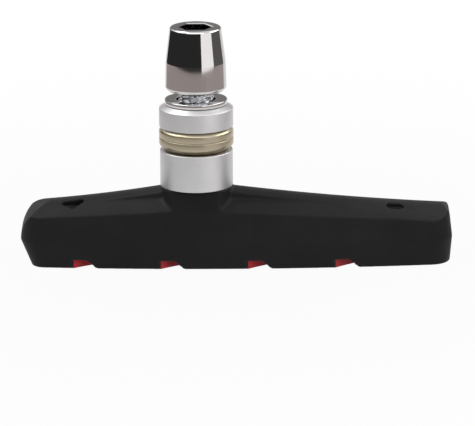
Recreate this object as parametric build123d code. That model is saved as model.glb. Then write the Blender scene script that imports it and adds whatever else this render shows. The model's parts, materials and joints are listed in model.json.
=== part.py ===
from build123d import *
import os
from math import asin, cos, degrees, hypot, radians, sin, sqrt

# Rim brake pad with a threaded stud, standing on its friction face.
# Origin on the stud axis in the friction face, +X towards the long end of the pad,
# +Y towards the wheel axle (the hollow edge of the pad), +Z along the stud.

# Pad plan, an arc strip that follows the rim
PAD_LENGTH = 72.0
SHORT_END_REACH = 29.45
PAD_WIDTH = 10.9
RIM_ARC_RADIUS = 300.0
OUTER_CORNER_RADIUS = 3.5
INNER_CORNER_RADIUS = 2.3
FACE_CORNER_RADIUS = 2.2

# Pad heights above the friction face
PARTING_HEIGHT = 4.6
BACK_AT_BOSS = 13.22
BACK_AT_SHORT_END = 10.24
BACK_AT_LONG_END = 9.44
SHORT_BACK_HOLLOW = 0.23
LONG_BACK_HOLLOW = 0.22
SEAT_HEIGHT = 13.6

# Draft of the pad walls, below and above the parting line
OUTER_WALL_DRAFT = 1.2
INNER_WALL_DRAFT = 0.6
SHORT_END_DRAFT = 1.9
LONG_END_DRAFT = 0.35
BACK_WALL_DRAFT = 0.9
BACK_END_DRAFT = 1.0
SHORT_TOP_RADIUS = 6.6
LONG_TOP_RADIUS = 2.0
END_SKIM = 0.03
FACE_EDGE_RADIUS = 0.3

# Crowned rib along the back, its rounded shoulders and the boss under the stud hardware
RIB_WIDTH = 5.0
CROWN_RADIUS = 8.0
SHOULDER_FOOT = 12.07
SHOULDER_ANGLE = 28.0
SHOULDER_RIM_ANGLE = 60.0
SHOULDER_RADIUS = 10.8
SHOULDER_FALL = 3.1
BOSS_BEYOND_WALL = 0.65
BOSS_FLARE = 1.0

# Recesses in the back
RECESS_DEPTH = 1.0
RECESS_TILT = 12.0
ARROW_WIDTH = 3.6
ARROW_LENGTH = 2.6
ARROW_HEAD = 1.6
ARROW_FROM_SHORT_END = 8.85
ARROW_POINT = -3.6
SLOT_WIDTH = 1.9
SLOT_LENGTH = 2.9
SLOT_FROM_LONG_END = 9.6
SLOT_OFFSET = -1.95

# Water grooves in the friction face and the coloured compound that lines them
GROOVE_DEPTH = 1.5
LINING_WALL = 0.25
LINING_FLOOR = 0.6
MOUTH_LIP = 0.3
LONG_GROOVE_INNER = 2.6
LONG_GROOVE_WIDTH = 1.45
SWEEP_COUNT = 4
SWEEP_PITCH = 14.35
FIRST_SWEEP_TIP = 9.0
SWEEP_TIP_OFFSET = -4.2
SWEEP_LOWER_RADIUS = 24.5
SWEEP_LOWER_REACH = 17.15
SWEEP_LOWER_DEPTH = 7.0
SWEEP_UPPER_RADIUS = 21.6
SWEEP_UPPER_REACH = 19.8
SWEEP_MERGE = 0.12
SWEEP_FLOOR_RADIUS = 24.4
CUSP_WIDTH = 0.34

# Dimples in the land at the short end: distance from the end, offset from the middle, diameter
DIMPLE_DEPTH = 0.8
DIMPLE_TAPER = 0.65
DIMPLES = [
    (3.0, -2.3, 0.95),
    (5.8, -2.5, 1.6),
    (8.6, -2.3, 0.95),
    (5.0, -0.65, 0.95),
    (8.4, -0.4, 0.95),
    (10.6, -0.5, 1.6),
    (13.0, 0.25, 0.95),
    (3.8, 1.3, 1.6),
    (7.0, 0.95, 1.6),
    (10.7, 1.25, 1.6),
    (14.3, 1.7, 0.95),
    (16.9, 1.75, 0.7),
]

# Steel backing plate moulded into the pad
PLATE_THICKNESS = 2.0
PLATE_HEIGHT = 5.0
PLATE_WIDTH = 7.2
PLATE_END_COVER = 5.5
PLATE_CORNER_RADIUS = 2.5

# Threaded stud, riveted through the plate
STUD_DIAMETER = 6.0
STUD_TOP = 34.5
STUD_CHAMFER = 0.6
SPIGOT_DIAMETER = 4.4
RIVET_DIAMETER = 6.8
RIVET_HEIGHT = 0.8
HOLE_CLEARANCE = 0.3

# Cup spacers and dome washers, paired on spherical seats
INNER_CUP_DIAMETER = 12.1
INNER_CUP_HEIGHT = 6.1
OUTER_CUP_DIAMETER = 12.3
OUTER_CUP_HEIGHT = 3.7
OUTER_CUP_BEVEL = 1.0
OUTER_CUP_BEVEL_HEIGHT = 0.6
DOME_DIAMETER = 12.35
DOME_RADIUS = 8.5
DOME_RIM = 1.2
DOME_RIM_ROUND = 0.5
INNER_DOME_STANDOFF = 2.2
OUTER_DOME_STANDOFF = 1.8
TILTING_BORE = 8.0
SEAT_CLEARANCE = 0.08
EDGE_BREAK = 0.2

# Flat washer under the nut
WASHER_DIAMETER = 10.4
WASHER_THICKNESS = 0.8
WASHER_GAP = 0.08

# Barrel nut, run part of the way down the stud
NUT_GAP = 1.5
NUT_HEIGHT = 10.7
NUT_DIAMETER = 10.2
NUT_FOOT_ROUND = 0.7
NUT_BARREL_HEIGHT = 4.9
NUT_BARREL_TOP_DIAMETER = 9.95
NUT_TOP_DIAMETER = 8.5
NUT_CROWN_ROUND = 0.4
NUT_THREAD_CLEARANCE = 0.05
NUT_THREAD_DEPTH = 6.25
SOCKET_ACROSS_FLATS = 5.0
SOCKET_DEPTH = 4.25

# Worked-out places
SHORT_END = -SHORT_END_REACH
LONG_END = PAD_LENGTH - SHORT_END_REACH
MIDDLE = (SHORT_END + LONG_END) / 2
ARC_Y = sqrt(RIM_ARC_RADIUS**2 - MIDDLE**2)
STUD_RADIUS = STUD_DIAMETER / 2
INNER_CUP_TOP = SEAT_HEIGHT + INNER_CUP_HEIGHT
ARM_PLANE = INNER_CUP_TOP + INNER_DOME_STANDOFF
OUTER_CUP_BOTTOM = ARM_PLANE + OUTER_DOME_STANDOFF
OUTER_CUP_TOP = OUTER_CUP_BOTTOM + OUTER_CUP_HEIGHT
WASHER_BOTTOM = OUTER_CUP_TOP + WASHER_GAP
WASHER_TOP = WASHER_BOTTOM + WASHER_THICKNESS
NUT_BOTTOM = WASHER_TOP + NUT_GAP
NUT_TOP = NUT_BOTTOM + NUT_HEIGHT
PLATE_TOP = PLATE_HEIGHT + PLATE_THICKNESS
DOME_RIM_RADIUS = DOME_DIAMETER / 2
DOME_CENTRE_RISE = sqrt(DOME_RADIUS**2 - DOME_RIM_RADIUS**2) - DOME_RIM
INNER_SPHERE_Z = ARM_PLANE + DOME_CENTRE_RISE
OUTER_SPHERE_Z = ARM_PLANE - DOME_CENTRE_RISE
SPAN = PAD_LENGTH + PAD_WIDTH
BOSS_RADIUS = PAD_WIDTH / 2 + BOSS_BEYOND_WALL


def on_arc(along, offset):
    """Point at a distance along the pad from the stud and an offset towards the wheel axle."""
    angle = along / RIM_ARC_RADIUS - asin(MIDDLE / RIM_ARC_RADIUS)
    radius = RIM_ARC_RADIUS - offset
    return (MIDDLE + radius * sin(angle), ARC_Y - radius * cos(angle))


def at_x(x, offset):
    """Point of the arc with that offset at a given X."""
    radius = RIM_ARC_RADIUS - offset
    return (x, ARC_Y - sqrt(radius**2 - (x - MIDDLE) ** 2))


def arc_strip(outer, inner, start, end):
    """Plan of a strip between two arcs, with straight ends and sharp corners."""
    lower = ThreePointArc(at_x(start, outer), at_x(MIDDLE, outer), at_x(end, outer))
    upper = ThreePointArc(at_x(end, inner), at_x(MIDDLE, inner), at_x(start, inner))
    return make_face([lower, Line(lower @ 1, upper @ 0), upper, Line(upper @ 1, lower @ 0)])


def rounded_strip(outer, inner, start, end, start_corner, outer_corner, inner_corner):
    """Plan of a strip between two arcs, with straight ends; start_corner is the outer one at its start."""
    strip = arc_strip(outer, inner, start, end)
    corners = (
        (at_x(start, outer), start_corner),
        (at_x(end, outer), outer_corner),
        (at_x(start, inner), inner_corner),
        (at_x(end, inner), inner_corner),
    )
    for place, radius in corners:
        strip = fillet(strip.vertices().sort_by_distance(place)[0], radius)
    return strip


def pad_plan(outer_inset, inner_inset, short_inset, long_inset, short_corner=OUTER_CORNER_RADIUS):
    """Plan of the pad, drawn in from its parting line."""
    half = PAD_WIDTH / 2
    return rounded_strip(
        outer_inset - half,
        half - inner_inset,
        SHORT_END + short_inset,
        LONG_END - long_inset,
        short_corner,
        OUTER_CORNER_RADIUS,
        INNER_CORNER_RADIUS,
    )


def back_height(x):
    """Height of the back's hollowed ridge at X, falling from the boss to the end on that side."""
    long_side = (LONG_END, BACK_AT_LONG_END, LONG_BACK_HOLLOW)
    short_side = (SHORT_END, BACK_AT_SHORT_END, SHORT_BACK_HOLLOW)
    end, end_height, hollow = long_side if x > 0 else short_side
    share = (abs(x) - BOSS_RADIUS) / (abs(end) - BOSS_RADIUS)
    fall = BACK_AT_BOSS - end_height
    return BACK_AT_BOSS - fall * share - 4 * hollow * share * (1 - share)


def back_curve(start, end):
    """Edge of the side view that skims the ridge of the back between two X values."""
    middle = (start + end) / 2
    return ThreePointArc(*[(x, back_height(x) + END_SKIM) for x in (start, middle, end)])


def back_end_x(end, skim):
    """X of an end wall at the height of the back; end is the wall's X at the parting line."""
    side = 1 if end > 0 else -1
    rise = (back_height(end) - PARTING_HEIGHT) / (SEAT_HEIGHT - PARTING_HEIGHT)
    return end + side * (skim - BACK_END_DRAFT * rise)


def pad_side_view():
    """Side view of the back without its boss, as a face in X and Z that skims the end walls."""
    long_back = back_curve(back_end_x(LONG_END, END_SKIM), BOSS_RADIUS)
    short_back = back_curve(-BOSS_RADIUS, back_end_x(SHORT_END, END_SKIM))
    below = Polyline(
        short_back @ 1,
        (SHORT_END - END_SKIM, PARTING_HEIGHT),
        (SHORT_END - END_SKIM, -PARTING_HEIGHT),
        (LONG_END + END_SKIM, -PARTING_HEIGHT),
        (LONG_END + END_SKIM, PARTING_HEIGHT),
        long_back @ 0,
    )
    view = make_face([long_back, Line(long_back @ 1, short_back @ 0), short_back, below])
    for corner, radius in ((long_back @ 0, LONG_TOP_RADIUS), (short_back @ 1, SHORT_TOP_RADIUS)):
        view = fillet(view.vertices().sort_by_distance(corner)[0], radius)
    return view


def crown_fall(offset):
    """Fall of the crowned back from its ridge to an offset."""
    return CROWN_RADIUS - sqrt(CROWN_RADIUS**2 - offset**2)


def crown_cut(side):
    """Waste over the crowned back on one side of the boss, side being -1 or 1 along X."""
    start = side * BOSS_RADIUS / 2
    end = LONG_END + PAD_WIDTH if side > 0 else SHORT_END - PAD_WIDTH
    half = CROWN_RADIUS * sin(radians(SHOULDER_RIM_ANGLE))
    fall = crown_fall(half)
    crown = ThreePointArc((-half, -fall), (0, 0), (half, -fall))
    above = Polyline(crown @ 1, (half, SEAT_HEIGHT), (-half, SEAT_HEIGHT), crown @ 0)
    profile = make_face([crown, above])
    sections = []
    for x in (start, (start + end) / 2, end):
        ridge = (*at_x(x, 0), back_height(x))
        sections.append(Plane(origin=ridge, x_dir=(0, 1, 0), z_dir=(1, 0, 0)) * profile)
    return loft(sections)


def beside_boss(side):
    """Block that holds everything on one side of the boss's middle, side being -1 or 1 along X."""
    return Pos(side * (SPAN + BOSS_RADIUS) / 2, 0, 0) * Box(SPAN, SPAN, SPAN)


def shoulder_cut(side, edge):
    """Waste over one rounded shoulder: side along X, edge -1 for the outer and 1 for the inner edge."""
    wall = RIM_ARC_RADIUS - edge * RIB_WIDTH / 2

    def slope_point(slope):
        out = SHOULDER_RADIUS * (sin(radians(slope)) - sin(radians(SHOULDER_ANGLE)))
        height = SHOULDER_RADIUS * (cos(radians(slope)) - cos(radians(SHOULDER_ANGLE)))
        return (wall - edge * out, height)

    slopes = (SHOULDER_ANGLE, (SHOULDER_ANGLE + SHOULDER_RIM_ANGLE) / 2, SHOULDER_RIM_ANGLE)
    shoulder = ThreePointArc(*[slope_point(slope) for slope in slopes])
    rim = slope_point(SHOULDER_RIM_ANGLE)[0]
    above = Polyline(shoulder @ 1, (rim, PAD_WIDTH), (wall, PAD_WIDTH), shoulder @ 0)
    profile = make_face([shoulder, above])
    turn = degrees(SPAN / RIM_ARC_RADIUS)
    section = Plane(origin=(MIDDLE, ARC_Y, 0), x_dir=(0, -1, 0), z_dir=(-1, 0, 0))
    axis = Axis((MIDDLE, ARC_Y, 0), (0, 0, 1))
    ring = revolve(section * profile, axis, revolution_arc=turn).rotate(axis, -turn / 2)
    tilted = Pos(0, 0, SHOULDER_FOOT) * Rot(0, side * SHOULDER_FALL, 0) * ring
    return tilted & beside_boss(side)


def turned(outline, rounds=()):
    """Solid of revolution about the stud axis from a closed outline in radius and height.

    Each of the rounds is a corner of the outline and its radius.
    """
    section = make_face(outline)
    for corner, radius in rounds:
        section = fillet(section.vertices().sort_by_distance(corner)[0], radius)
    return revolve(Plane.XZ * section, Axis.Z)


def pad_walls():
    """Drafted walls of the pad, widest at the parting line, with a soft edge round the friction face."""
    drafts = (OUTER_WALL_DRAFT, INNER_WALL_DRAFT, SHORT_END_DRAFT, LONG_END_DRAFT)
    face = pad_plan(*drafts, short_corner=FACE_CORNER_RADIUS)
    parting = Pos(0, 0, PARTING_HEIGHT) * pad_plan(0, 0, 0, 0)
    back = pad_plan(BACK_WALL_DRAFT, BACK_WALL_DRAFT, BACK_END_DRAFT, BACK_END_DRAFT)
    walls = loft([face, parting], ruled=True)
    walls += loft([parting, Pos(0, 0, SEAT_HEIGHT) * back], ruled=True)
    return fillet(walls.faces().sort_by(Axis.Z)[0].edges(), FACE_EDGE_RADIUS)


def boss():
    """Round boss under the stud hardware, from the parting line up."""
    height = SEAT_HEIGHT - PARTING_HEIGHT
    return Pos(0, 0, PARTING_HEIGHT + height / 2) * Cylinder(BOSS_RADIUS, height)


def on_boss(point):
    """True for a point on the round side of the boss."""
    return abs(hypot(point.X, point.Y) - BOSS_RADIUS) < END_SKIM


def boss_edges(form):
    """Edges where the round side of the boss meets the shoulders and the walls of the pad."""
    edges = []
    for edge in form.edges():
        low, high = sorted(((edge @ 0).Z, (edge @ 1).Z))
        foot = high - low > BOSS_FLARE / 2 and low < SHOULDER_FOOT - BOSS_FLARE
        if foot and all(on_boss(edge @ share) for share in (0, 0.5, 1)):
            edges.append(edge)
    return edges


def pad_form():
    """Outer form of the moulded pad, before its cavities."""
    walls = pad_walls()
    side_view = extrude(Plane.XZ * pad_side_view(), SPAN, both=True)
    form = walls & side_view
    for side in (-1, 1):
        form -= crown_cut(side)
        for edge in (-1, 1):
            form -= shoulder_cut(side, edge)
    form += boss() & walls
    return fillet(boss_edges(form), BOSS_FLARE)


def sweep_plan(tip, margin, depth):
    """Plan, at a depth, of one groove that sweeps from the outer edge into the long groove."""
    upper = SWEEP_UPPER_RADIUS + (SWEEP_FLOOR_RADIUS - SWEEP_UPPER_RADIUS) * depth / GROOVE_DEPTH
    merge = LONG_GROOVE_INNER - margin
    mouth = -PAD_WIDTH
    lower_radius = SWEEP_LOWER_RADIUS + margin
    lower_centre = SWEEP_TIP_OFFSET + SWEEP_LOWER_DEPTH - SWEEP_LOWER_RADIUS
    upper_radius = upper - margin
    upper_centre = LONG_GROOVE_INNER + SWEEP_MERGE - upper

    def lower_edge(offset):
        run = sqrt(lower_radius**2 - (offset - lower_centre) ** 2)
        return on_arc(tip + SWEEP_LOWER_REACH - run, offset)

    def upper_edge(offset):
        run = sqrt(max(upper_radius**2 - (offset - upper_centre) ** 2, 0))
        return on_arc(tip + SWEEP_UPPER_REACH - run, offset)

    cusp = merge - CUSP_WIDTH
    end = upper_centre + upper_radius
    lower_side = ThreePointArc(lower_edge(mouth), lower_edge((mouth + cusp) / 2), lower_edge(cusp))
    upper_side = ThreePointArc(upper_edge(end), upper_edge((mouth + end) / 2), upper_edge(mouth))
    cusp_run = sqrt(lower_radius**2 - (cusp - lower_centre) ** 2)
    inside = LONG_GROOVE_INNER + LONG_GROOVE_WIDTH / 2
    bottom = Polyline(
        lower_side @ 1,
        on_arc(tip + SWEEP_LOWER_REACH - cusp_run, inside),
        on_arc(tip + SWEEP_UPPER_REACH, inside),
        upper_side @ 0,
    )
    return make_face([lower_side, bottom, upper_side, Line(upper_side @ 1, lower_side @ 0)])


def groove_tool(margin, depth):
    """Waste of all the grooves, grown by a margin; the long one runs out at both ends of the pad."""
    inner = LONG_GROOVE_INNER - margin
    outer = LONG_GROOVE_INNER + LONG_GROOVE_WIDTH + margin
    tool = extrude(arc_strip(inner, outer, SHORT_END - PAD_WIDTH, LONG_END + PAD_WIDTH), depth)
    for index in range(SWEEP_COUNT):
        tip = SHORT_END + FIRST_SWEEP_TIP + index * SWEEP_PITCH
        floor = Pos(0, 0, depth) * sweep_plan(tip, margin, depth)
        tool += loft([sweep_plan(tip, margin, 0), floor], ruled=True)
    return tool


def lining_channel():
    """Waste for the lining, which stops behind a lip of black rubber at the mouths of the sweeps."""
    depth = GROOVE_DEPTH + LINING_FLOOR
    edge = OUTER_WALL_DRAFT + MOUTH_LIP - PAD_WIDTH / 2
    inside = arc_strip(edge, PAD_WIDTH, SHORT_END - PAD_WIDTH, LONG_END + PAD_WIDTH)
    return groove_tool(LINING_WALL, depth) & extrude(inside, depth)


def back_recess(plan, x, offset):
    """Tool for a shallow recess, sunk square to the crowned back."""
    floor = back_height(x) - crown_fall(offset) - RECESS_DEPTH
    place = (*at_x(x, offset), floor)
    return Pos(*place) * Rot(RECESS_TILT, 0, 0) * extrude(plan, SEAT_HEIGHT)


def back_recesses():
    """The pointed recess at the short end and the oblong one at the long end."""
    arrow = make_face(
        Polyline(
            (0, 0),
            (ARROW_WIDTH / 2, ARROW_HEAD),
            (ARROW_WIDTH / 2, ARROW_LENGTH),
            (-ARROW_WIDTH / 2, ARROW_LENGTH),
            (-ARROW_WIDTH / 2, ARROW_HEAD),
            close=True,
        )
    )
    slot = SlotOverall(SLOT_LENGTH, SLOT_WIDTH)
    return [
        back_recess(arrow, SHORT_END + ARROW_FROM_SHORT_END, ARROW_POINT),
        back_recess(slot, LONG_END - SLOT_FROM_LONG_END, SLOT_OFFSET),
    ]


def dimples():
    """Tapered dimples in the land at the short end."""
    tools = []
    for from_end, offset, diameter in DIMPLES:
        x, y = on_arc(SHORT_END + from_end, offset)
        radius = diameter / 2
        tool = Cone(radius, radius * DIMPLE_TAPER, DIMPLE_DEPTH)
        tools.append(Pos(x, y, DIMPLE_DEPTH / 2) * tool)
    return tools


def backing_plate():
    """Flat steel plate that follows the arc of the pad, with a hole for the stud's spigot."""
    half = PLATE_WIDTH / 2
    plan = rounded_strip(
        -half,
        half,
        SHORT_END + PLATE_END_COVER,
        LONG_END - PLATE_END_COVER,
        PLATE_CORNER_RADIUS,
        PLATE_CORNER_RADIUS,
        PLATE_CORNER_RADIUS,
    )
    plan -= Circle(SPIGOT_DIAMETER / 2)
    return Pos(0, 0, PLATE_HEIGHT) * extrude(plan, PLATE_THICKNESS)


def stud():
    """Stud with a shoulder on the plate and a riveted foot under it."""
    spigot = SPIGOT_DIAMETER / 2
    rivet = RIVET_DIAMETER / 2
    return turned(
        Polyline(
            (0, PLATE_HEIGHT - RIVET_HEIGHT),
            (rivet, PLATE_HEIGHT - RIVET_HEIGHT),
            (rivet, PLATE_HEIGHT),
            (spigot, PLATE_HEIGHT),
            (spigot, PLATE_TOP),
            (STUD_RADIUS, PLATE_TOP),
            (STUD_RADIUS, STUD_TOP - STUD_CHAMFER),
            (STUD_RADIUS - STUD_CHAMFER, STUD_TOP),
            (0, STUD_TOP),
            close=True,
        )
    )


def groove_lining(form, grooves, channel):
    """Coloured compound that lines the grooves, flush with the end walls where the long one runs out."""
    return (channel & form) - grooves


def friction_block(form, grooves, channel, plate, post):
    """The moulded pad with its cavities, grooves, dimples and recesses."""
    block = form
    for tool in (grooves, channel, plate, post, *back_recesses(), *dimples()):
        block -= tool
    return block


def seat_arc(sphere_radius, centre, bore, mouth, sense):
    """Arc of a spherical seat from its mouth to its bore; sense is -1 below the centre and 1 above."""
    middle = (bore + mouth) / 2
    return ThreePointArc(
        *[(r, centre + sense * sqrt(sphere_radius**2 - r**2)) for r in (mouth, middle, bore)]
    )


def inner_cup_spacer():
    """Tall spacer on the boss, with a spherical seat in its top."""
    radius = INNER_CUP_DIAMETER / 2
    bore = STUD_RADIUS + HOLE_CLEARANCE
    sphere = DOME_RADIUS + SEAT_CLEARANCE
    mouth = sqrt(sphere**2 - (INNER_SPHERE_Z - INNER_CUP_TOP) ** 2)
    seat = seat_arc(sphere, INNER_SPHERE_Z, bore, mouth, -1)
    sides = Polyline(
        seat @ 1,
        (bore, SEAT_HEIGHT),
        (radius - EDGE_BREAK, SEAT_HEIGHT),
        (radius, SEAT_HEIGHT + EDGE_BREAK),
        (radius, INNER_CUP_TOP - EDGE_BREAK),
        (radius - EDGE_BREAK, INNER_CUP_TOP),
        seat @ 0,
    )
    return turned([seat, sides])


def outer_cup_spacer():
    """Short spacer over the outer dome, with a spherical seat below and a bevelled top."""
    radius = OUTER_CUP_DIAMETER / 2
    bore = TILTING_BORE / 2
    sphere = DOME_RADIUS + SEAT_CLEARANCE
    mouth = sqrt(sphere**2 - (OUTER_CUP_BOTTOM - OUTER_SPHERE_Z) ** 2)
    seat = seat_arc(sphere, OUTER_SPHERE_Z, bore, mouth, 1)
    sides = Polyline(
        seat @ 1,
        (bore, OUTER_CUP_TOP),
        (radius - OUTER_CUP_BEVEL, OUTER_CUP_TOP),
        (radius, OUTER_CUP_TOP - OUTER_CUP_BEVEL_HEIGHT),
        (radius, OUTER_CUP_BOTTOM + EDGE_BREAK),
        (radius - EDGE_BREAK, OUTER_CUP_BOTTOM),
        seat @ 0,
    )
    return turned([seat, sides])


def dome_washer(sense):
    """Washer with a flat face at the brake arm and a dome away from it; sense is -1 below, 1 above."""
    radius = DOME_RIM_RADIUS
    bore = TILTING_BORE / 2
    centre = ARM_PLANE - sense * DOME_CENTRE_RISE
    dome = seat_arc(DOME_RADIUS, centre, bore, radius, sense)
    sides = Polyline(
        dome @ 1,
        (bore, ARM_PLANE),
        (radius - EDGE_BREAK, ARM_PLANE),
        (radius, ARM_PLANE + sense * EDGE_BREAK),
        dome @ 0,
    )
    return turned([dome, sides], [(dome @ 0, DOME_RIM_ROUND)])


def flat_washer():
    """Plain washer between the outer spacer and the nut."""
    radius = WASHER_DIAMETER / 2
    bore = STUD_RADIUS + HOLE_CLEARANCE
    return turned(
        Polyline(
            (bore, WASHER_BOTTOM),
            (radius - EDGE_BREAK, WASHER_BOTTOM),
            (radius, WASHER_BOTTOM + EDGE_BREAK),
            (radius, WASHER_TOP - EDGE_BREAK),
            (radius - EDGE_BREAK, WASHER_TOP),
            (bore, WASHER_TOP),
            close=True,
        )
    )


def nut():
    """Barrel nut with a rounded foot, a tapering crown and a hexagon socket."""
    radius = NUT_DIAMETER / 2
    crown = NUT_TOP_DIAMETER / 2
    bore = STUD_RADIUS + NUT_THREAD_CLEARANCE
    core = SOCKET_ACROSS_FLATS / 2
    thread_end = NUT_BOTTOM + NUT_THREAD_DEPTH
    foot_corner = (radius, NUT_BOTTOM)
    crown_corner = (crown, NUT_TOP)
    outline = Polyline(
        (bore, thread_end),
        (bore, NUT_BOTTOM),
        foot_corner,
        (NUT_BARREL_TOP_DIAMETER / 2, NUT_BOTTOM + NUT_BARREL_HEIGHT),
        crown_corner,
        (core, NUT_TOP),
        (core, thread_end),
        close=True,
    )
    body = turned(outline, [(foot_corner, NUT_FOOT_ROUND), (crown_corner, NUT_CROWN_ROUND)])
    socket = extrude(RegularPolygon(core, 6, major_radius=False), SOCKET_DEPTH)
    return body - Pos(0, 0, NUT_TOP - SOCKET_DEPTH) * socket


def main():
    """Builds every piece and writes each to its own file."""
    form = pad_form()
    grooves = groove_tool(0, GROOVE_DEPTH)
    channel = lining_channel()
    plate = backing_plate()
    post = stud()
    pieces = {
        "friction_block": friction_block(form, grooves, channel, plate, post),
        "groove_lining": groove_lining(form, grooves, channel),
        "backing_plate": plate,
        "stud": post,
        "inner_cup_spacer": inner_cup_spacer(),
        "inner_dome_washer": dome_washer(-1),
        "outer_dome_washer": dome_washer(1),
        "outer_cup_spacer": outer_cup_spacer(),
        "flat_washer": flat_washer(),
        "nut": nut(),
    }
    os.makedirs("parts", exist_ok=True)
    for name, piece in pieces.items():
        export_step(piece, f"parts/{name}.step")


main()
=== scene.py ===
"""Looks and stage of a bicycle rim brake pad with its threaded stud, ball washers and barrel nut."""

import json
from math import atan2, ceil, cos, pi, radians, sin, sqrt, tan, tau

import bmesh
import bpy
from mathutils import Matrix, Vector


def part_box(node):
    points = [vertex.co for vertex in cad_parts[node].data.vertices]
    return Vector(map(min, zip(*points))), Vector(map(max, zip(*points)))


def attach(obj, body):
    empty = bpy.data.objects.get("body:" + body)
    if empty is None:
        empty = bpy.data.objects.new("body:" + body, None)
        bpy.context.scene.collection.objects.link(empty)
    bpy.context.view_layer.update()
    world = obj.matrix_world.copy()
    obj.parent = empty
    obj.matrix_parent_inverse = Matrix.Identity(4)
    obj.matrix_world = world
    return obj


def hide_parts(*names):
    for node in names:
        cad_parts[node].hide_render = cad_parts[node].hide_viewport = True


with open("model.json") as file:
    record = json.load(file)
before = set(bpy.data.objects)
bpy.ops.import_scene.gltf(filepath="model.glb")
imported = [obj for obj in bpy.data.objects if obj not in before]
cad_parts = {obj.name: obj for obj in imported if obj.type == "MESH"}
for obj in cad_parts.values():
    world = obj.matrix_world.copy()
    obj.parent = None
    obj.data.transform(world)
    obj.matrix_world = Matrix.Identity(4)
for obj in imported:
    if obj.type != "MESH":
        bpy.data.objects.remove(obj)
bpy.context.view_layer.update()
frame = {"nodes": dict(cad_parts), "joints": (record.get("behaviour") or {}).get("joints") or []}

bl_info = {
    "name": "Rim brake pad",
    "version": (1, 0, 0),
    "blender": (4, 5, 0),
    "location": "View3D > Sidebar > Brake pad",
    "description": "Finishes a rim brake pad with its stud, washers and nut, and sets its studio",
    "category": "Object",
}

NODES = frame["nodes"]
BALL_CENTRES = {joint["name"]: joint["pos_m"][2] for joint in frame["joints"] if "pos_m" in joint}
MM = 0.001


# Sizes read from the frame

def bottom(node):
    """Height of a node's lowest point."""
    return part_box(node)[0].z


def top(node):
    """Height of a node's highest point."""
    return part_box(node)[1].z


def outer_radius(node):
    """Radius of a turned node, from its box."""
    low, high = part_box(node)
    return (high.x - low.x) / 2


# Properties that a user would change

def length(name, description, millimetres):
    """Length property with its default in millimetres."""
    return bpy.props.FloatProperty(
        name=name, description=description, default=millimetres * MM, unit="LENGTH", precision=6
    )


def colour(name, description, default):
    """Colour property in linear light."""
    return bpy.props.FloatVectorProperty(
        name=name, description=description, default=default, subtype="COLOR", min=0.0, max=1.0
    )


def angle(name, description, degrees):
    """Angle property with its default in degrees."""
    return bpy.props.FloatProperty(
        name=name, description=description, default=radians(degrees), subtype="ANGLE"
    )


def number(name, description, default):
    """Plain number property."""
    return bpy.props.FloatProperty(name=name, description=description, default=default)


class BRAKEPAD_PG_sizes(bpy.types.PropertyGroup):
    """Sizes of the fine forms that the pieces carry"""

    mould_cell: length("Moulding cell", "Cell from which the softened rubber is drawn", 0.18)
    mould_passes: bpy.props.IntProperty(
        name="Softening", description="Smoothing passes that round the rubber edges", default=3, min=0
    )
    mould_share: bpy.props.FloatProperty(
        name="Mesh kept",
        description="Share of the softened rubber's faces that is kept",
        default=0.5,
        subtype="FACTOR",
    )
    turned_edge: length("Turned edge", "Round on the edges of the turned pieces", 0.14)
    thread_pitch: length("Thread pitch", "Rise of the stud's thread in one turn", 1.0)
    thread_depth: length("Thread depth", "Depth of the stud's thread", 0.61)
    stud_diameter: length("Stud", "Outside diameter of the stud's thread", 6.0)
    spigot_diameter: length("Spigot", "Diameter of the stud in the plate", 4.4)
    plain_hole: length("Plain hole", "Bore of the pieces centred on the stud", 6.6)
    tilting_hole: length("Tilting hole", "Bore of the washers that tilt on the stud", 8.0)
    seat_clearance: length("Seat clearance", "Gap between a dome and its cup", 0.08)
    cup_bevel: length("Cup bevel", "Width of the bevel on top of the outer cup", 1.0)
    cup_bevel_height: length("Cup bevel height", "Height of that bevel", 0.6)
    dome_rim_round: length("Dome rim", "Round between the dome of a washer and its rim", 0.5)
    nut_diameter: length("Nut", "Diameter of the nut at its foot, before the foot is rounded", 10.2)
    nut_foot_round: length("Nut foot", "Round at the foot of the nut", 0.7)
    nut_barrel_height: length("Nut barrel", "Height at which the nut starts to taper", 4.9)
    nut_edge_diameter: length("Nut edge", "Diameter of the nut where the taper starts", 9.95)
    nut_edge_round: length("Nut edge round", "Round on that edge", 2.0)
    nut_top_diameter: length("Nut top", "Diameter of the nut at its top", 8.5)
    nut_crown_round: length("Nut crown", "Round between the taper and the top of the nut", 0.4)
    nut_thread_clearance: length("Thread clearance", "Gap between the stud and the nut's bore", 0.05)
    socket_flats: length("Socket", "Width of the hexagon socket across its flats", 5.0)
    socket_depth: length("Socket depth", "Depth of the hexagon socket", 4.25)
    nut_thread_depth: length("Nut thread", "Depth of the threaded bore from below", 6.25)


class BRAKEPAD_PG_colours(bpy.types.PropertyGroup):
    """Colours of the finishes"""

    rubber: colour("Rubber", "Black friction compound", (0.0122, 0.0112, 0.0118))
    rubber_bloom: colour("Rubber bloom", "Greyish haze on the black compound", (0.0182, 0.0170, 0.0178))
    lining: colour("Lining", "Red compound in the grooves", (0.72, 0.026, 0.044))
    lining_shade: colour("Lining shade", "Deeper red in the same compound", (0.52, 0.016, 0.030))
    aluminium: colour("Aluminium", "Satin turned spacers", (0.66, 0.658, 0.66))
    passivate: colour("Passivate", "Yellow passivated washers", (0.44, 0.395, 0.265))
    passivate_tint: colour("Passivate tint", "Pinkish tint in the same coat", (0.43, 0.37, 0.30))
    chrome: colour("Chrome", "Polished plate on the nut", (0.62, 0.612, 0.605))
    zinc: colour("Zinc", "Bright plate on the stud", (0.66, 0.68, 0.71))
    steel: colour("Steel", "Mill finish of the backing plate", (0.42, 0.42, 0.43))


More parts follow.
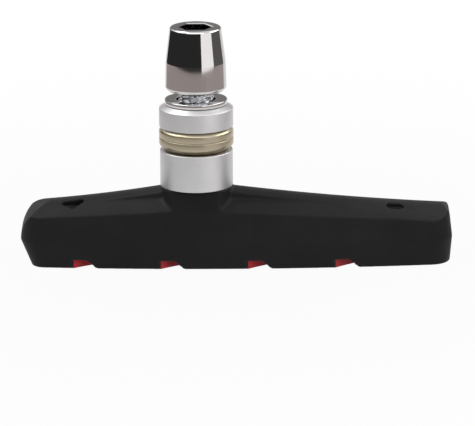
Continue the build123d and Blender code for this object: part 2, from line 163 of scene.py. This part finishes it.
class BRAKEPAD_PG_stage(bpy.types.PropertyGroup):
    """Camera and studio"""

    camera_distance: length("Camera distance", "From the camera to the point it looks at", 800.0)
    frame_width: length("Frame width", "Width of the picture at that point", 79.2)
    elevation: angle("Elevation", "Height of the camera above the horizon", 15.0)
    roll: angle("Roll", "Turn of the picture about its middle", 0.4)
    aim: bpy.props.FloatVectorProperty(
        name="Aim",
        description="Point in the middle of the picture",
        default=(0.006752, 0.0, 0.008557),
        subtype="TRANSLATION",
        unit="LENGTH",
        precision=6,
    )
    key: number("Key", "Power of the large light on the left", 3.4)
    strip: number("Strip", "Power of the tall light on the right", 1.2)
    ambient: number("Ambient", "Strength of the even light all round", 0.26)
    floor_shadow: number("Floor shadow", "Share of the floor's white that shadows can take away", 0.05)


def sizes():
    """Sizes set in the scene."""
    return bpy.context.scene.brakepad_sizes


def colours():
    """Colours set in the scene."""
    return bpy.context.scene.brakepad_colours


# Meshes swept round the stud axis

ROUND_STEPS = 5
SEGMENTS = 144
GENTLE_TURN = radians(30)
ROUND_ROOM = 0.45
SHADING_ANGLE = radians(40)


def arc_points(radius, centre, start, end, steps):
    """Points in radius and height on a ball about the axis, between two radii; centre is its height."""
    sense = 1 if radius > 0 else -1
    ball = abs(radius)
    points = []
    for step in range(steps + 1):
        reach = start + (end - start) * step / steps
        points.append((reach, centre + sense * sqrt(ball**2 - reach**2)))
    return points


def corner_arc(before, here, after, radius):
    """Points of the arc that rounds a corner between two straight runs."""
    corner = Vector(here)
    back = (Vector(before) - corner).normalized()
    onward = (Vector(after) - corner).normalized()
    half = back.angle(onward) / 2
    centre = corner + (back + onward).normalized() * radius / sin(half)
    start = corner + back * radius / tan(half) - centre
    end = corner + onward * radius / tan(half) - centre
    points = []
    for step in range(ROUND_STEPS + 1):
        spoke = start.slerp(end, step / ROUND_STEPS).normalized() * radius
        points.append(tuple(centre + spoke))
    return points


def rounded(outline, edge):
    """Closed outline with an arc at each corner that is not gentle."""
    result = []
    count = len(outline)
    for index, here in enumerate(outline):
        before = outline[index - 1]
        after = outline[(index + 1) % count]
        back = Vector(before) - Vector(here)
        onward = Vector(after) - Vector(here)
        opening = back.angle(onward)
        if pi - opening < GENTLE_TURN:
            result.append(here)
            continue
        room = ROUND_ROOM * min(back.length, onward.length) * tan(opening / 2)
        result.extend(corner_arc(before, here, after, min(edge, room)))
    return result


def swept_mesh(name, rings, closed):
    """Mesh from rings about the axis: each ring is a function from an angle to a radius and a height."""
    form = bmesh.new()
    loops = []
    for ring in rings:
        loop = []
        for step in range(SEGMENTS):
            turn = tau * step / SEGMENTS
            radius, height = ring(turn)
            loop.append(form.verts.new((radius * cos(turn), radius * sin(turn), height)))
        loops.append(loop)
    if not closed:
        form.faces.new(loops[0])
        form.faces.new(reversed(loops[-1]))
    pairs = list(zip(loops, loops[1:]))
    if closed:
        pairs.append((loops[-1], loops[0]))
    for below, above in pairs:
        for step in range(SEGMENTS):
            beside = (step + 1) % SEGMENTS
            form.faces.new((below[step], below[beside], above[beside], above[step]))
    bmesh.ops.recalc_face_normals(form, faces=form.faces)
    mesh = bpy.data.meshes.new(name)
    form.to_mesh(mesh)
    form.free()
    mesh.shade_smooth()
    mesh.set_sharp_from_angle(angle=SHADING_ANGLE)
    return mesh


def plain_ring(point):
    """Ring of one radius at one height."""
    return lambda turn: point


def turned_mesh(name, outline):
    """Ring-shaped turned piece from its closed outline in radius and height."""
    return swept_mesh(name, [plain_ring(point) for point in outline], closed=True)


def place(name, mesh, body, material, *nodes):
    """Object for a mesh that takes the place of nodes and moves with their body."""
    piece = bpy.data.objects.new(name, mesh)
    bpy.context.scene.collection.objects.link(piece)
    mesh.materials.append(material)
    weighted = piece.modifiers.new("Even shading", "WEIGHTED_NORMAL")
    weighted.keep_sharp = True
    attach(piece, body)
    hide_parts(*nodes)
    return piece


# Finishes

class Finish:
    """Material with a few shorthands for its nodes."""

    def __init__(self, name):
        self.material = bpy.data.materials.new(name)
        self.material.use_nodes = True
        self.tree = self.material.node_tree
        self.shader = self.tree.nodes["Principled BSDF"]

    def set(self, **values):
        """Constant values on the shader's own sockets."""
        for name, value in values.items():
            self.shader.inputs[name.replace("_", " ")].default_value = value

    def node(self, kind, **values):
        """Node with its properties set."""
        made = self.tree.nodes.new(kind)
        for name, value in values.items():
            setattr(made, name, value)
        return made

    def link(self, source, target):
        """Link between two sockets."""
        self.tree.links.new(source, target)

    def place(self):
        """Place on the piece, in metres in the object's frame."""
        return self.node("ShaderNodeTexCoord").outputs["Object"]

    def noise(self, grain, detail=3.0, where=None):
        """Noise whose features are about grain metres across."""
        made = self.node("ShaderNodeTexNoise")
        made.inputs["Scale"].default_value = 1.0 / grain
        made.inputs["Detail"].default_value = detail
        self.link(where or self.place(), made.inputs["Vector"])
        return made.outputs["Fac"]

    def ramp(self, source, low, high, start=0.35, end=0.65):
        """Blend of two colours by a number, between two of its values."""
        made = self.node("ShaderNodeValToRGB")
        made.color_ramp.elements[0].position = start
        made.color_ramp.elements[0].color = (*low, 1.0)
        made.color_ramp.elements[1].position = end
        made.color_ramp.elements[1].color = (*high, 1.0)
        self.link(source, made.inputs["Fac"])
        return made.outputs["Color"]

    def spread(self, source, low, high):
        """Number from 0 to 1 spread between two values."""
        made = self.node("ShaderNodeMapRange")
        made.inputs["To Min"].default_value = low
        made.inputs["To Max"].default_value = high
        self.link(source, made.inputs["Value"])
        return made.outputs["Result"]

    def bump(self, source, height, before=None):
        """Bump of a height in metres, on top of an earlier one."""
        made = self.node("ShaderNodeBump")
        made.inputs["Strength"].default_value = 1.0
        made.inputs["Distance"].default_value = height
        self.link(source, made.inputs["Height"])
        if before:
            self.link(before, made.inputs["Normal"])
        return made.outputs["Normal"]

    def lathe_place(self):
        """Place as radius and height, the same all the way round the axis."""
        parts = self.node("ShaderNodeSeparateXYZ")
        self.link(self.place(), parts.inputs["Vector"])
        flat = self.node("ShaderNodeCombineXYZ")
        self.link(parts.outputs["X"], flat.inputs["X"])
        self.link(parts.outputs["Y"], flat.inputs["Y"])
        reach = self.node("ShaderNodeVectorMath", operation="LENGTH")
        self.link(flat.outputs["Vector"], reach.inputs[0])
        lathe = self.node("ShaderNodeCombineXYZ")
        self.link(reach.outputs["Value"], lathe.inputs["X"])
        self.link(parts.outputs["Z"], lathe.inputs["Z"])
        return lathe.outputs["Vector"]

    def mottled(self, shade, depth, grain):
        """Shade that drifts to a darker one, a share of itself."""
        return self.ramp(self.noise(grain), Vector(shade) * depth, Vector(shade))

    def use(self, name, source):
        """Link a source to one of the shader's inputs."""
        self.link(source, self.shader.inputs[name])


def rubber_finish():
    """Black moulded rubber: fine grain, a faint bloom and uneven gloss."""
    finish = Finish("black_rubber_moulded")
    shades = colours()
    bloom = finish.noise(grain=9 * MM, detail=4.0)
    finish.use("Base Color", finish.ramp(bloom, shades.rubber, shades.rubber_bloom))
    finish.use("Roughness", finish.spread(finish.noise(grain=2.5 * MM), low=0.50, high=0.66))
    waves = finish.bump(finish.noise(grain=1.6 * MM, detail=2.0), height=0.02 * MM)
    pores = finish.noise(grain=0.16 * MM, detail=2.0)
    finish.use("Normal", finish.bump(pores, height=0.012 * MM, before=waves))
    finish.set(IOR=1.5, Specular_IOR_Level=0.16)
    return finish.material


def lining_finish():
    """Red moulded compound, a little glossier than the black."""
    finish = Finish("red_compound_moulded")
    shades = colours()
    tone = finish.noise(grain=3 * MM, detail=4.0)
    finish.use("Base Color", finish.ramp(tone, shades.lining_shade, shades.lining, start=0.3, end=0.6))
    finish.use("Roughness", finish.spread(finish.noise(grain=1.2 * MM), low=0.38, high=0.52))
    pores = finish.noise(grain=0.2 * MM, detail=2.0)
    finish.use("Normal", finish.bump(pores, height=0.01 * MM))
    finish.set(IOR=1.5)
    return finish.material


def turned_finish(name, tone, roughness, mark, depth):
    """Turned metal with rings left by the tool, of a width and a depth."""
    finish = Finish(name)
    rings = finish.noise(grain=mark, detail=2.0, where=finish.lathe_place())
    finish.use("Base Color", tone(finish))
    finish.use("Roughness", finish.spread(rings, *roughness))
    finish.use("Normal", finish.bump(rings, depth))
    finish.set(Metallic=1.0)
    return finish.material


def aluminium_finish():
    """Satin turned aluminium."""

    def tone(finish):
        return finish.mottled(colours().aluminium, depth=0.94, grain=4 * MM)

    return turned_finish(
        "satin_aluminium_turned", tone, roughness=(0.40, 0.48), mark=0.07 * MM, depth=0.0012 * MM
    )


def passivate_finish():
    """Yellow passivated plate with drifting tints."""
    shades = colours()

    def tone(finish):
        return finish.ramp(finish.noise(grain=5 * MM), shades.passivate, shades.passivate_tint)

    return turned_finish(
        "yellow_passivate_turned", tone, roughness=(0.27, 0.36), mark=0.06 * MM, depth=0.0006 * MM
    )


def metal_finish(name, tone, gloss, roughness):
    """Plain metal whose roughness follows a noise."""
    finish = Finish(name)
    finish.use("Base Color", tone(finish))
    finish.use("Roughness", finish.spread(gloss(finish), *roughness))
    finish.set(Metallic=1.0)
    return finish.material


def chrome_finish():
    """Polished chrome with faint handling marks."""
    return metal_finish(
        "polished_chrome",
        lambda finish: finish.mottled(colours().chrome, depth=0.96, grain=6 * MM),
        lambda finish: finish.noise(grain=1.5 * MM, detail=5.0),
        roughness=(0.03, 0.075),
    )


def zinc_finish():
    """Bright zinc plate on the rolled thread."""
    return metal_finish(
        "bright_zinc_thread",
        lambda finish: finish.mottled(colours().zinc, depth=0.85, grain=1.5 * MM),
        lambda finish: finish.noise(grain=0.5 * MM),
        roughness=(0.12, 0.24),
    )


def steel_finish():
    """Mill finish of the hidden plate."""
    return metal_finish(
        "mill_steel",
        lambda finish: finish.mottled(colours().steel, depth=0.8, grain=2 * MM),
        lambda finish: finish.noise(grain=0.4 * MM),
        roughness=(0.35, 0.5),
    )


def finish_node(node, material):
    """Gives a node that keeps its own form a better finish."""
    slots = NODES[node].data.materials
    slots.clear()
    slots.append(material)


# Pieces

SMOOTHING = 0.5


def softened(node, name):
    """Copy of a node's form with its edges rounded as a mould leaves them."""
    given = sizes()
    copy = bpy.data.objects.new(name, NODES[node].data.copy())
    bpy.context.scene.collection.objects.link(copy)
    cells = copy.modifiers.new("Mould", "REMESH")
    cells.mode = "VOXEL"
    cells.voxel_size = given.mould_cell
    ease = copy.modifiers.new("Ease", "SMOOTH")
    ease.factor = SMOOTHING
    ease.iterations = given.mould_passes
    thin = copy.modifiers.new("Thin", "DECIMATE")
    thin.ratio = given.mould_share
    graph = bpy.context.evaluated_depsgraph_get()
    mesh = bpy.data.meshes.new_from_object(copy.evaluated_get(graph))
    bpy.data.objects.remove(copy)
    mesh.name = name
    mesh.materials.clear()
    mesh.shade_smooth()
    return mesh


class BRAKEPAD_OT_rubber_block(bpy.types.Operator):
    """Softens the edges of the moulded rubber and gives it its finish"""

    bl_idname = "brakepad.rubber_block"
    bl_label = "Rubber block"

    def execute(self, context):
        """Makes the rubber block."""
        mesh = softened("friction_block", "rubber_block")
        place("rubber_block", mesh, "pad", rubber_finish(), "friction_block")
        return {"FINISHED"}


class BRAKEPAD_OT_groove_lining(bpy.types.Operator):
    """Finishes the red compound in the water grooves"""

    bl_idname = "brakepad.groove_lining"
    bl_label = "Groove lining"

    def execute(self, context):
        """Finishes the lining."""
        finish_node("groove_lining", lining_finish())
        return {"FINISHED"}


class BRAKEPAD_OT_backing_plate(bpy.types.Operator):
    """Finishes the steel plate inside the rubber"""

    bl_idname = "brakepad.backing_plate"
    bl_label = "Backing plate"

    def execute(self, context):
        """Finishes the plate."""
        finish_node("backing_plate", steel_finish())
        return {"FINISHED"}


# Steps of the thread in one pitch, and the shares of the pitch that its crest and its flanks take
THREAD_STEPS = 12
THREAD_CREST = 0.1
THREAD_FLANK = 0.75


def stud_rings(given):
    """Rings of the stud from its riveted foot to the chamfered end of its thread."""
    foot = bottom("stud")
    end = top("stud")
    plate_low, plate_high = bottom("backing_plate"), top("backing_plate")
    rivet = outer_radius("stud")
    spigot = given.spigot_diameter / 2
    crest = given.stud_diameter / 2
    riveted = [(rivet, foot), (rivet, plate_low), (spigot, plate_low)]
    shank = [(spigot, plate_high), (crest, plate_high)]
    rings = [plain_ring(point) for point in riveted + shank]
    start = top("friction_block")
    steps = ceil((end - start) / given.thread_pitch * THREAD_STEPS)
    for step in range(steps + 1):
        height = start + (end - start) * step / steps
        rings.append(thread_ring(given, crest, height, end))
    return rings


def thread_ring(given, crest, height, end):
    """Ring of a thread whose groove winds upwards, cut back by a chamfer at its end."""

    def ring(turn):
        phase = (height / given.thread_pitch - turn / tau) % 1.0
        ridge = abs(2 * phase - 1)
        flank = min(max((ridge - THREAD_CREST) / THREAD_FLANK, 0.0), 1.0)
        radius = crest - given.thread_depth * flank
        return min(radius, crest - given.thread_depth + (end - height)), height

    return ring


class BRAKEPAD_OT_threaded_stud(bpy.types.Operator):
    """Cuts the thread on the stud"""

    bl_idname = "brakepad.threaded_stud"
    bl_label = "Threaded stud"

    def execute(self, context):
        """Makes the stud."""
        mesh = swept_mesh("threaded_stud", stud_rings(sizes()), closed=False)
        place("threaded_stud", mesh, "pad", zinc_finish(), "stud")
        return {"FINISHED"}


SEAT_STEPS = 14


def ball_radius(given):
    """Radius of the domes, from where the inner one meets its bore."""
    drop = BALL_CENTRES["toe_in"] - bottom("inner_dome_washer")
    return sqrt(drop**2 + (given.tilting_hole / 2) ** 2)


def inner_cup_outline(given):
    """Outline of the tall spacer with a ball seat in its top."""
    low, high = bottom("inner_cup_spacer"), top("inner_cup_spacer")
    radius = outer_radius("inner_cup_spacer")
    bore = given.plain_hole / 2
    ball = ball_radius(given) + given.seat_clearance
    centre = BALL_CENTRES["toe_in"]
    mouth = sqrt(ball**2 - (centre - high) ** 2)
    seat = arc_points(-ball, centre, mouth, bore, SEAT_STEPS)
    return [(bore, low), (radius, low), (radius, high), *seat]


def outer_cup_outline(given):
    """Outline of the short spacer with a ball seat below and a bevelled top."""
    low, high = bottom("outer_cup_spacer"), top("outer_cup_spacer")
    radius = outer_radius("outer_cup_spacer")
    bore = given.tilting_hole / 2
    ball = ball_radius(given) + given.seat_clearance
    centre = BALL_CENTRES["outer_seat"]
    mouth = sqrt(ball**2 - (low - centre) ** 2)
    seat = arc_points(ball, centre, bore, mouth, SEAT_STEPS)
    rim = (radius - given.cup_bevel, high)
    return [(bore, high), *seat, (radius, low), (radius, high - given.cup_bevel_height), rim]


class BRAKEPAD_OT_cup_spacers(bpy.types.Operator):
    """Turns the two satin spacers with their ball seats"""

    bl_idname = "brakepad.cup_spacers"
    bl_label = "Cup spacers"

    def execute(self, context):
        """Makes both spacers."""
        given = sizes()
        metal = aluminium_finish()
        for name, outline, body in (
            ("inner_cup_spacer", inner_cup_outline(given), "pad"),
            ("outer_cup_spacer", outer_cup_outline(given), "outer_cup"),
        ):
            mesh = turned_mesh(name + "_turned", rounded(outline, given.turned_edge))
            place(name + "_turned", mesh, body, metal, name)
        return {"FINISHED"}


def dome_outline(given, node, centre, flat, sense):
    """Outline of a washer that is flat on one side and domed on the other, with a round to its rim."""
    radius = outer_radius(node)
    bore = given.tilting_hole / 2
    ball = ball_radius(given)
    edge = given.dome_rim_round
    reach = radius - edge
    rise = sense * sqrt((ball - edge) ** 2 - reach**2)
    dome = arc_points(sense * ball, centre, bore, reach * ball / (ball - edge), SEAT_STEPS)
    rim = []
    for step in range(1, ROUND_STEPS + 1):
        turn = atan2(rise, reach) * (1 - step / ROUND_STEPS)
        rim.append((reach + edge * cos(turn), centre + rise + edge * sin(turn)))
    return [(bore, flat), *dome, *rim, (radius, flat)]


class BRAKEPAD_OT_dome_washers(bpy.types.Operator):
    """Turns the two yellow washers that meet flat to flat"""

    bl_idname = "brakepad.dome_washers"
    bl_label = "Dome washers"

    def execute(self, context):
        """Makes both washers."""
        given = sizes()
        metal = passivate_finish()
        for name, joint, flat, sense in (
            ("inner_dome_washer", "toe_in", top("inner_dome_washer"), -1),
            ("outer_dome_washer", "outer_seat", bottom("outer_dome_washer"), 1),
        ):
            outline = dome_outline(given, name, BALL_CENTRES[joint], flat, sense)
            mesh = turned_mesh(name + "_turned", rounded(outline, given.turned_edge))
            place(name + "_turned", mesh, "dome_washers", metal, name)
        return {"FINISHED"}


class BRAKEPAD_OT_flat_washer(bpy.types.Operator):
    """Turns the bright washer under the nut"""

    bl_idname = "brakepad.flat_washer"
    bl_label = "Flat washer"

    def execute(self, context):
        """Makes the washer."""
        given = sizes()
        low, high = bottom("flat_washer"), top("flat_washer")
        radius, bore = outer_radius("flat_washer"), given.plain_hole / 2
        outline = [(bore, low), (radius, low), (radius, high), (bore, high)]
        mesh = turned_mesh("flat_washer_turned", rounded(outline, given.turned_edge))
        place("flat_washer_turned", mesh, "pad", chrome_finish(), "flat_washer")
        return {"FINISHED"}


def hexagon_ring(flats, height):
    """Ring that follows a hexagon with that width across its flats."""

    def ring(turn):
        off_flat = (turn % (tau / 6)) - tau / 12
        return flats / 2 / cos(off_flat), height

    return ring


SOCKET_LEAD = 0.15 * MM


def nut_rings(given):
    """Rings of the nut: up its outside, over the crown, down the socket and through the bore."""
    low, high = bottom("nut"), top("nut")
    bore = given.stud_diameter / 2 + given.nut_thread_clearance
    core = given.socket_flats / 2
    under = (bore, low)
    foot = (given.nut_diameter / 2, low)
    edge = (given.nut_edge_diameter / 2, low + given.nut_barrel_height)
    crown = (given.nut_top_diameter / 2, high)
    mouth = (core, high)
    outside = [
        under,
        *corner_arc(under, foot, edge, given.nut_foot_round),
        *corner_arc(foot, edge, crown, given.nut_edge_round),
        *corner_arc(edge, crown, mouth, given.nut_crown_round),
    ]
    socket_floor = high - given.socket_depth
    thread_end = low + given.nut_thread_depth
    rings = [plain_ring(point) for point in outside]
    rings.append(hexagon_ring(given.socket_flats + 2 * SOCKET_LEAD, high))
    rings.append(hexagon_ring(given.socket_flats, high - SOCKET_LEAD))
    rings.append(hexagon_ring(given.socket_flats, socket_floor))
    rings.append(plain_ring((core - SOCKET_LEAD, socket_floor)))
    rings.append(plain_ring((core - SOCKET_LEAD, thread_end)))
    rings.append(plain_ring((bore, thread_end)))
    return rings


class BRAKEPAD_OT_barrel_nut(bpy.types.Operator):
    """Shapes and polishes the barrel nut with its hexagon socket"""

    bl_idname = "brakepad.barrel_nut"
    bl_label = "Barrel nut"

    def execute(self, context):
        """Makes the nut."""
        mesh = swept_mesh("barrel_nut", nut_rings(sizes()), closed=True)
        place("barrel_nut", mesh, "nut", chrome_finish(), "nut")
        return {"FINISHED"}


# Stage

FLOOR_SIZE = 6.0
FLOOR_DROP = 0.02 * MM
FLOOR_PAINT = (0.4, 0.4, 0.4, 1.0)
SHADOW_REACH = 0.16


def white_for_seen_rays(tree):
    """Socket that is 1 for camera, mirror and glass rays, and 0 for the rays that light the object."""
    path = tree.nodes.new("ShaderNodeLightPath")
    first = tree.nodes.new("ShaderNodeMath")
    first.operation = "MAXIMUM"
    tree.links.new(path.outputs["Is Camera Ray"], first.inputs[0])
    tree.links.new(path.outputs["Is Glossy Ray"], first.inputs[1])
    second = tree.nodes.new("ShaderNodeMath")
    second.operation = "MAXIMUM"
    tree.links.new(first.outputs["Value"], second.inputs[0])
    tree.links.new(path.outputs["Is Transmission Ray"], second.inputs[1])
    return second.outputs["Value"]


def make_world(ambient):
    """White behind the object, and an even soft light on it."""
    world = bpy.data.worlds.new("studio_white")
    bpy.context.scene.world = world
    world.use_nodes = True
    tree = world.node_tree
    light = tree.nodes["Background"]
    light.inputs["Color"].default_value = (1.0, 1.0, 1.0, 1.0)
    level = tree.nodes.new("ShaderNodeMapRange")
    level.inputs["To Min"].default_value = ambient
    level.inputs["To Max"].default_value = 1.0
    tree.links.new(white_for_seen_rays(tree), level.inputs["Value"])
    tree.links.new(level.outputs["Result"], light.inputs["Strength"])


def floor_material(shadow):
    """White floor that keeps a soft shadow close to the object."""
    material = bpy.data.materials.new("studio_floor")
    material.use_nodes = True
    tree = material.node_tree
    tree.nodes.clear()
    output = tree.nodes.new("ShaderNodeOutputMaterial")
    paint = tree.nodes.new("ShaderNodeBsdfDiffuse")
    paint.inputs["Color"].default_value = FLOOR_PAINT
    glow = tree.nodes.new("ShaderNodeEmission")
    mix = tree.nodes.new("ShaderNodeMixShader")
    where = tree.nodes.new("ShaderNodeTexCoord")
    reach = tree.nodes.new("ShaderNodeVectorMath")
    reach.operation = "LENGTH"
    tree.links.new(where.outputs["Object"], reach.inputs[0])
    fade = tree.nodes.new("ShaderNodeMapRange")
    fade.inputs["From Max"].default_value = SHADOW_REACH
    fade.inputs["To Min"].default_value = 1.0 - shadow
    fade.inputs["To Max"].default_value = 1.0
    tree.links.new(reach.outputs["Value"], fade.inputs["Value"])
    seen = tree.nodes.new("ShaderNodeMath")
    seen.operation = "MULTIPLY"
    tree.links.new(white_for_seen_rays(tree), seen.inputs[0])
    tree.links.new(fade.outputs["Result"], seen.inputs[1])
    tree.links.new(seen.outputs["Value"], mix.inputs["Fac"])
    tree.links.new(paint.outputs["BSDF"], mix.inputs[1])
    tree.links.new(glow.outputs["Emission"], mix.inputs[2])
    tree.links.new(mix.outputs["Shader"], output.inputs["Surface"])
    return material


def make_floor(shadow):
    """Plain pale floor under the pad."""
    form = bmesh.new()
    bmesh.ops.create_grid(form, x_segments=1, y_segments=1, size=FLOOR_SIZE / 2)
    mesh = bpy.data.meshes.new("studio_floor")
    form.to_mesh(mesh)
    form.free()
    floor = bpy.data.objects.new("studio_floor", mesh)
    floor.location.z = -FLOOR_DROP
    bpy.context.scene.collection.objects.link(floor)
    mesh.materials.append(floor_material(shadow))


# Place, width and height of the lights, and the point that they face
KEY_LEFT = ((-0.47, 0.0, 0.60), 0.5, 0.6)
STRIP_RIGHT = ((0.50, -0.42, 0.20), 0.25, 0.55)
LIGHT_AIM = (0.0, 0.0, 0.015)


def make_light(name, power, place_at, width, height):
    """Rectangular soft light that faces the part."""
    data = bpy.data.lights.new(name, "AREA")
    data.shape = "RECTANGLE"
    data.size = width
    data.size_y = height
    data.energy = power
    lamp = bpy.data.objects.new(name, data)
    lamp.location = place_at
    lamp.rotation_mode = "QUATERNION"
    lamp.rotation_quaternion = (Vector(LIGHT_AIM) - Vector(place_at)).to_track_quat("-Z", "Y")
    bpy.context.scene.collection.objects.link(lamp)
    return lamp


# Tent of cards round the part: the azimuths they span from the camera's side to the right, their heights
# in millimetres, their brightness and their tint
NEUTRAL = (1.0, 0.97, 0.97, 1.0)
WARM = (1.0, 0.87, 0.84, 1.0)
CARDS = {
    "table_front": (-144, 40, 0, 14, 0.41, WARM),
    "table_right": (40, 130, 0, 14, 0.44, WARM),
    "flag_front": (-144, 23, 14, 60, 0.03, NEUTRAL),
    "panel_right": (23, 72, 14, 60, 1.3, NEUTRAL),
    "flag_right": (72, 130, 14, 60, 0.13, NEUTRAL),
    "wing_front": (-40, 40, 60, 130, 2.5, NEUTRAL),
    "wing_right": (72, 130, 60, 130, 4.5, NEUTRAL),
    "bounce_back": (130, 216, 0, 45, 0.9, NEUTRAL),
    "flag_back": (130, 216, 45, 130, 0.23, NEUTRAL),
}
TENT_RADIUS = 110 * MM
CARD_STEPS = 24


def card_material(name, level, tint):
    """Even glow of a card."""
    material = bpy.data.materials.new(name)
    material.use_nodes = True
    shader = material.node_tree.nodes["Principled BSDF"]
    shader.inputs["Base Color"].default_value = (0.0, 0.0, 0.0, 1.0)
    shader.inputs["Specular IOR Level"].default_value = 0.0
    shader.inputs["Emission Color"].default_value = tint
    shader.inputs["Emission Strength"].default_value = level
    return material


def make_card(name, start, end, low, high, level, tint):
    """Curved card of the tent, which shows only as a reflection in the part."""
    form = bmesh.new()
    edges = []
    for step in range(CARD_STEPS + 1):
        turn = radians(start + (end - start) * step / CARD_STEPS)
        x, y = TENT_RADIUS * sin(turn), -TENT_RADIUS * cos(turn)
        edges.append([form.verts.new((x, y, height * MM)) for height in (low, high)])
    for left, right in zip(edges, edges[1:]):
        form.faces.new((left[0], right[0], right[1], left[1]))
    mesh = bpy.data.meshes.new(name)
    form.to_mesh(mesh)
    form.free()
    mesh.materials.append(card_material(name, level, tint))
    card = bpy.data.objects.new(name, mesh)
    card.visible_camera = False
    card.visible_diffuse = False
    card.visible_transmission = False
    card.visible_shadow = False
    bpy.context.scene.collection.objects.link(card)


SENSOR_WIDTH = 36.0
CLIP_START = 0.01
CLIP_END = 10.0


def make_camera(stage):
    """Camera at the height and distance of a long lens."""
    data = bpy.data.cameras.new("camera")
    data.sensor_width = SENSOR_WIDTH
    data.lens = SENSOR_WIDTH * stage.camera_distance / stage.frame_width
    data.clip_start = CLIP_START
    data.clip_end = CLIP_END
    camera = bpy.data.objects.new("camera", data)
    back = Vector((0.0, -cos(stage.elevation), sin(stage.elevation)))
    camera.location = Vector(stage.aim) + back * stage.camera_distance
    level = (-back).to_track_quat("-Z", "Y").to_matrix()
    camera.rotation_euler = (level @ Matrix.Rotation(-stage.roll, 3, "Z")).to_euler()
    bpy.context.scene.collection.objects.link(camera)
    bpy.context.scene.camera = camera


class BRAKEPAD_OT_stage(bpy.types.Operator):
    """Sets the floor, the lights and the camera"""

    bl_idname = "brakepad.stage"
    bl_label = "Studio"

    def execute(self, context):
        """Sets the studio."""
        stage = context.scene.brakepad_stage
        context.scene.view_settings.view_transform = "Standard"
        make_world(stage.ambient)
        make_floor(stage.floor_shadow)
        make_light("key_left", stage.key, *KEY_LEFT)
        strip = make_light("strip_right", stage.strip, *STRIP_RIGHT)
        strip.visible_glossy = False
        for name, card in CARDS.items():
            make_card(name, *card)
        make_camera(stage)
        return {"FINISHED"}


GROUPS = {
    "brakepad_sizes": BRAKEPAD_PG_sizes,
    "brakepad_colours": BRAKEPAD_PG_colours,
    "brakepad_stage": BRAKEPAD_PG_stage,
}

PIECES = (
    BRAKEPAD_OT_rubber_block,
    BRAKEPAD_OT_groove_lining,
    BRAKEPAD_OT_backing_plate,
    BRAKEPAD_OT_threaded_stud,
    BRAKEPAD_OT_cup_spacers,
    BRAKEPAD_OT_dome_washers,
    BRAKEPAD_OT_flat_washer,
    BRAKEPAD_OT_barrel_nut,
    BRAKEPAD_OT_stage,
)


class BRAKEPAD_PT_sidebar(bpy.types.Panel):
    """Lists the pieces and the studio, with their sizes and colours"""

    bl_idname = "BRAKEPAD_PT_sidebar"
    bl_label = "Brake pad"
    bl_space_type = "VIEW_3D"
    bl_region_type = "UI"
    bl_category = "Brake pad"

    def draw(self, context):
        """Draws the buttons and the values."""
        for piece in PIECES:
            self.layout.operator(piece.bl_idname)
        for pointer, kind in GROUPS.items():
            box = self.layout.box()
            for name in kind.__annotations__:
                box.prop(getattr(context.scene, pointer), name)


def register():
    """Adds the properties, the operators and the panel."""
    for name, group in GROUPS.items():
        bpy.utils.register_class(group)
        setattr(bpy.types.Scene, name, bpy.props.PointerProperty(type=group))
    for piece in (*PIECES, BRAKEPAD_PT_sidebar):
        bpy.utils.register_class(piece)


def unregister():
    """Takes the panel, the operators and the properties away again."""
    for piece in (BRAKEPAD_PT_sidebar, *reversed(PIECES)):
        bpy.utils.unregister_class(piece)
    for name, group in GROUPS.items():
        delattr(bpy.types.Scene, name)
        bpy.utils.unregister_class(group)


def main():
    """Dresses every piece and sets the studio."""
    register()
    for piece in PIECES:
        group, name = piece.bl_idname.split(".")
        getattr(getattr(bpy.ops, group), name)()


if __name__ == "__main__":
    main()
